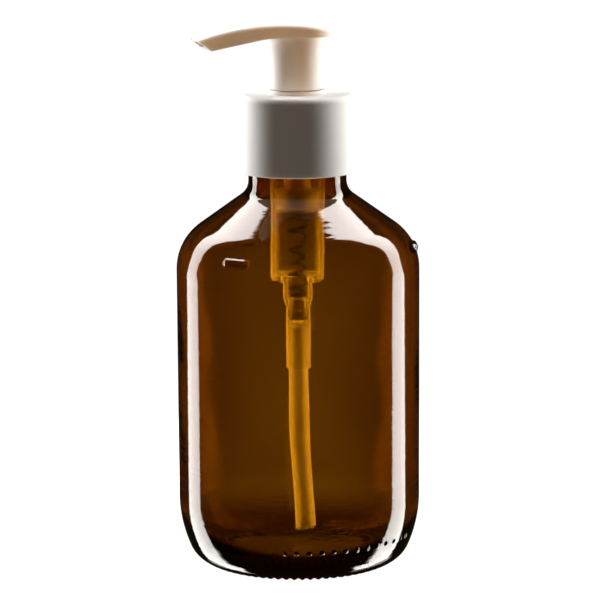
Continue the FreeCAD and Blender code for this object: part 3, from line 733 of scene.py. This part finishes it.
def under_fill():
    place = Vector((0, 0, UNDER_FILL_HEIGHT))
    light = fill("under_fill", place, UNDER_FILL_SIZE, UNDER_FILL_BRIGHTNESS, UNDER_FILL_COLOUR)
    only_for(light, ("screw_collar",), ("neck_gasket",))


def lights():
    soft_box("box_right", BOX_AXIS + BOX_ANGLE, BOX_BRIGHTNESS_RIGHT)
    soft_box("box_left", BOX_AXIS - BOX_ANGLE, BOX_BRIGHTNESS_LEFT)
    inner_light("inner_right", BOX_AXIS + INNER_ANGLE, INNER_BRIGHTNESS_RIGHT)
    inner_light("inner_left", BOX_AXIS - INNER_ANGLE, INNER_BRIGHTNESS_LEFT)
    head_fill()
    under_fill()
    fill("top_light", TOP_PLACE, TOP_SIZE, TOP_BRIGHTNESS, TOP_COLOUR)


# ---- world and floor ----

# What glass and gloss see of the boxes: elevation, and the angle from their axis of an edge, in degrees.
BOX_INNER_LEFT = (
    (-90, 104), (-30, 104), (0, 106), (15, 106), (30, 113), (40, 117), (50, 117), (61, 127), (90, 127))
BOX_INNER_RIGHT = (
    (-90, 104), (-30, 104), (0, 106), (15, 106), (30, 113),
    (40, 117), (50, 119), (63, 131), (73, 142), (90, 160))
BOX_OUTER_EDGE = (
    (-90, 134), (-30, 134), (0, 121), (10, 122), (20, 129), (30, 138), (40, 147), (50, 156), (90, 170))
BOX_TOP_LEFT = 61.0
BOX_TOP_RIGHT = 70.0
BOX_TOP_SOFTNESS = 2.0
BOX_BOTTOM = -58.0
BOX_BOTTOM_SOFTNESS = 3.0
BOX_SIDE_SOFTNESS = 1.2
BOX_ABOVE_START = 15.0
BOX_ABOVE_FULL = 45.0
BOX_SHINE_LEFT = 8.8
BOX_SHINE_RIGHT = 10.8
BOX_SHINE_ABOVE_LEFT = 13.2
BOX_SHINE_ABOVE_RIGHT = 14.5
BOX_COLOUR = (0.80, 0.77, 0.73, 1.0)

# Low glow beside and below the boxes: its elevations and its angles from their axis, in degrees.
GLOW_SHINE = 3.0
GLOW_TOP = -33.0
GLOW_FULL = -38.0
GLOW_START = 98.0
GLOW_START_FULL = 104.0
GLOW_END_FULL = 140.0
GLOW_END = 150.0

# The ground behind the bottle is brighter towards the boxes: painted light in the floor's glow, and more
# light low in the world.
# Its middle and sides are in degrees about a point in front of the bottle, and its reaches in metres.
GROUND_MIDDLE = 6.4
GROUND_SIDE = 9.0
GROUND_GAIN = 1.9
GROUND_POINT = 0.15
GROUND_NEAR = 0.05
GROUND_FAR = 0.12
GROUND_FRONT_START = 0.0
GROUND_FRONT_FULL = -0.3

# The world takes over the ground's brightness up to these elevations.
HORIZON_FULL = 2.0
HORIZON_END = 10.0

# The room in front of the bottle, away from the boxes, is a little dimmer; on the floor this is painted
# shade in its glow.
FRONT_DIMMING = 0.16
FRONT_START = -0.1
FRONT_END = 0.3
FRONT_NEAR = 0.08
FRONT_FAR = 0.5

# What matt and what glossy surfaces see of the dim room, and what is seen behind and through the bottle.
MATT_ROOM = (0.085, 0.068, 0.055, 1)
GLOSSY_ROOM = (0.02, 0.012, 0.006, 1)
WHITE = (1.0, 1.0, 1.0, 1)
FLOOR_SIZE = 6.0


class Graph:
    """Short names for building a node tree."""

    def __init__(self, tree):
        self.nodes = tree.nodes
        self.links = tree.links

    def add(self, kind, **settings):
        node = self.nodes.new(kind)
        for name, value in settings.items():
            setattr(node, name, value)
        return node

    def put(self, socket, value):
        if isinstance(value, bpy.types.NodeSocket):
            self.links.new(value, socket)
        else:
            socket.default_value = value

    def math(self, operation, *values):
        node = self.add("ShaderNodeMath", operation=operation)
        for socket, value in zip(node.inputs, values):
            self.put(socket, value)
        return node.outputs[0]

    def product(self, first, *others):
        for value in others:
            first = self.math("MULTIPLY", first, value)
        return first

    def blend(self, share, first, second):
        node = self.add("ShaderNodeMix")
        self.put(node.inputs["Factor"], share)
        self.put(node.inputs["A"], first)
        self.put(node.inputs["B"], second)
        return node.outputs["Result"]

    def colour_blend(self, share, first, second):
        node = self.add("ShaderNodeMix", data_type="RGBA")
        self.put(node.inputs["Factor"], share)
        self.put(node.inputs["A"], first)
        self.put(node.inputs["B"], second)
        return node.outputs["Result"]

    def step(self, value, low, high):
        """Smooth step from 0 at low to 1 at high."""
        node = self.add("ShaderNodeMapRange", interpolation_type="SMOOTHSTEP")
        self.put(node.inputs["Value"], value)
        self.put(node.inputs["From Min"], low)
        self.put(node.inputs["From Max"], high)
        return node.outputs["Result"]

    def curve(self, value, points):
        """Straight runs through points given in degrees, over a value in degrees."""
        node = self.add("ShaderNodeFloatCurve")
        self.put(node.inputs["Value"], self.math("MULTIPLY_ADD", value, 1 / 180, 0.5))
        curve = node.mapping.curves[0]
        while len(curve.points) < len(points):
            curve.points.new(0.5, 0.5)
        for point, (x, y) in zip(curve.points, points):
            point.location = (x / 180 + 0.5, y / 180)
            point.handle_type = "VECTOR"
        node.mapping.update()
        return self.math("MULTIPLY", node.outputs["Value"], 180.0)

    def split(self, name):
        """Parts of that output of the texture coordinates."""
        parts = self.add("ShaderNodeSeparateXYZ")
        self.put(parts.inputs[0], self.add("ShaderNodeTexCoord").outputs[name])
        return parts.outputs

    def reach(self, parts, turn):
        """How far a place or direction reaches towards that azimuth."""
        axis = direction_towards(turn)
        along = self.math("MULTIPLY", parts["X"], axis.x)
        return self.math("ADD", along, self.math("MULTIPLY", parts["Y"], axis.y))


def box_shine(graph, parts, level, height):
    """Brightness of the boxes and the low glow in each direction."""
    along = graph.reach(parts, BOX_AXIS)
    aside = graph.math("DEGREES", graph.math("ARCCOSINE", graph.math("DIVIDE", along, level)))
    right = graph.math("GREATER_THAN", graph.reach(parts, BOX_AXIS + math.pi / 2), 0.0)
    inner = graph.blend(right, graph.curve(height, BOX_INNER_LEFT), graph.curve(height, BOX_INNER_RIGHT))
    outer = graph.curve(height, BOX_OUTER_EDGE)
    starts = graph.step(aside, graph.math("SUBTRACT", inner, BOX_SIDE_SOFTNESS),
                        graph.math("ADD", inner, BOX_SIDE_SOFTNESS))
    ends = graph.step(aside, graph.math("ADD", outer, BOX_SIDE_SOFTNESS),
                      graph.math("SUBTRACT", outer, BOX_SIDE_SOFTNESS))
    rise = graph.math("SUBTRACT", height, graph.blend(right, BOX_TOP_LEFT, BOX_TOP_RIGHT))
    top = graph.step(rise, BOX_TOP_SOFTNESS, -BOX_TOP_SOFTNESS)
    bottom = graph.step(height, BOX_BOTTOM - BOX_BOTTOM_SOFTNESS, BOX_BOTTOM)
    above = graph.step(height, BOX_ABOVE_START, BOX_ABOVE_FULL)
    strength = graph.blend(right, graph.blend(above, BOX_SHINE_LEFT, BOX_SHINE_ABOVE_LEFT),
                           graph.blend(above, BOX_SHINE_RIGHT, BOX_SHINE_ABOVE_RIGHT))
    box = graph.product(starts, ends, top, bottom, strength)
    lower = graph.step(height, GLOW_TOP, GLOW_FULL)
    glow_starts = graph.step(aside, GLOW_START, GLOW_START_FULL)
    glow_ends = graph.step(aside, GLOW_END, GLOW_END_FULL)
    glow = graph.product(lower, glow_starts, glow_ends, bottom, GLOW_SHINE)
    return graph.math("ADD", box, glow)


def room_brightness(graph, front, offset, ground_share, front_share):
    """What is seen past the bottle: 1 straight behind it, more beside that, less in front; on the floor,
    painted light and shade.

    front is the cosine of the level angle from the camera's side, and offset is in degrees.
    """
    side = graph.step(offset, GROUND_MIDDLE, GROUND_SIDE)
    beside = graph.product(side, ground_share, graph.step(front, GROUND_FRONT_START, GROUND_FRONT_FULL))
    brighter = graph.math("MULTIPLY_ADD", beside, GROUND_GAIN, 1.0)
    dimmer = graph.product(graph.step(front, FRONT_START, FRONT_END), front_share, FRONT_DIMMING)
    return graph.math("SUBTRACT", brighter, dimmer)


def world():
    """Dim room with two bright boxes for glass and gloss, and white behind all that is seen through."""
    studio = bpy.data.worlds.new("studio")
    studio.use_nodes = True
    # Matt surfaces see only the dim room, so sampling the world as a lamp would add nothing but noise.
    studio.cycles.sampling_method = "NONE"
    graph = Graph(studio.node_tree)
    parts = graph.split("Generated")
    # A hair over 1 keeps the division by it safe straight up and down.
    level = graph.math("SQRT", graph.math("SUBTRACT", 1.0001, graph.math("POWER", parts["Z"], 2.0)))
    height = graph.math("DEGREES", graph.math("ARCSINE", parts["Z"]))
    front = graph.math("DIVIDE", graph.reach(parts, CAMERA_AZIMUTH), level)
    offset = graph.math("DEGREES", graph.math("ARCCOSINE", graph.math("MULTIPLY", front, -1.0)))
    horizon = graph.step(height, HORIZON_END, HORIZON_FULL)
    room = room_brightness(graph, front, offset, horizon, 1.0)

    path = graph.add("ShaderNodeLightPath").outputs
    seen = graph.math("MAXIMUM", path["Is Camera Ray"], path["Is Transmission Ray"])
    shining = graph.math("MAXIMUM", path["Is Glossy Ray"], path["Is Transmission Ray"])
    dim = graph.colour_blend(path["Is Glossy Ray"], MATT_ROOM, GLOSSY_ROOM)
    base = graph.add("ShaderNodeBackground")
    graph.put(base.inputs["Color"], graph.colour_blend(seen, dim, WHITE))
    graph.put(base.inputs["Strength"], graph.blend(seen, 1.0, room))
    boxes = graph.add("ShaderNodeBackground")
    graph.put(boxes.inputs["Color"], BOX_COLOUR)
    shine = box_shine(graph, parts, level, height)
    graph.put(boxes.inputs["Strength"], graph.math("MULTIPLY", shine, shining))
    both = graph.add("ShaderNodeAddShader")
    graph.put(both.inputs[0], base.outputs[0])
    graph.put(both.inputs[1], boxes.outputs[0])
    graph.put(graph.nodes["World Output"].inputs["Surface"], both.outputs[0])
    bpy.context.scene.world = studio


def pale_floor_painted_light():
    """Glowing white ground. Its glow is painted brighter beside and behind, towards the boxes where their
    light would fall, and dimmer in front.
    """
    material = new_material("pale_floor_painted_light")[0]
    graph = Graph(material.node_tree)
    shader = graph.nodes["Principled BSDF"]
    shader.inputs["Base Color"].default_value = (0.05, 0.05, 0.05, 1)
    shader.inputs["Roughness"].default_value = 1.0
    shader.inputs["Specular IOR Level"].default_value = 0.0
    shader.inputs["Emission Color"].default_value = WHITE
    parts = graph.split("Object")
    depth = graph.reach(parts, CAMERA_AZIMUTH + math.pi)
    across = graph.reach(parts, CAMERA_AZIMUTH + math.pi / 2)
    angle = graph.math("ARCTAN2", graph.math("ABSOLUTE", across), graph.math("ADD", depth, GROUND_POINT))
    squares = graph.math("ADD", graph.math("POWER", depth, 2.0), graph.math("POWER", across, 2.0))
    reach = graph.math("SQRT", squares)
    front = graph.math("DIVIDE", depth, graph.math("MULTIPLY", reach, -1.0))
    beyond = graph.step(depth, GROUND_NEAR, GROUND_FAR)
    before = graph.step(reach, FRONT_NEAR, FRONT_FAR)
    room = room_brightness(graph, front, graph.math("DEGREES", angle), beyond, before)
    # Painted light and shade in the floor's glow: brighter towards the boxes behind, dimmer in front of the
    # bottle.
    graph.put(shader.inputs["Emission Strength"], room)
    return material


def floor():
    """Wide pale ground; it lights nothing, so that the room stays dim in front of the bottle."""
    mesh = bmesh.new()
    bmesh.ops.create_grid(mesh, x_segments=1, y_segments=1, size=FLOOR_SIZE)
    data = bpy.data.meshes.new("floor")
    mesh.to_mesh(data)
    mesh.free()
    data.materials.append(pale_floor_painted_light())
    ground = bpy.data.objects.new("floor", data)
    bpy.context.scene.collection.objects.link(ground)
    ground.visible_diffuse = False
    ground.visible_glossy = False
    ground.visible_shadow = False


glass_bottle()
return_spring()
dress_all()
camera()
lights()
world()
floor()
bpy.context.scene.view_settings.view_transform = "Standard"
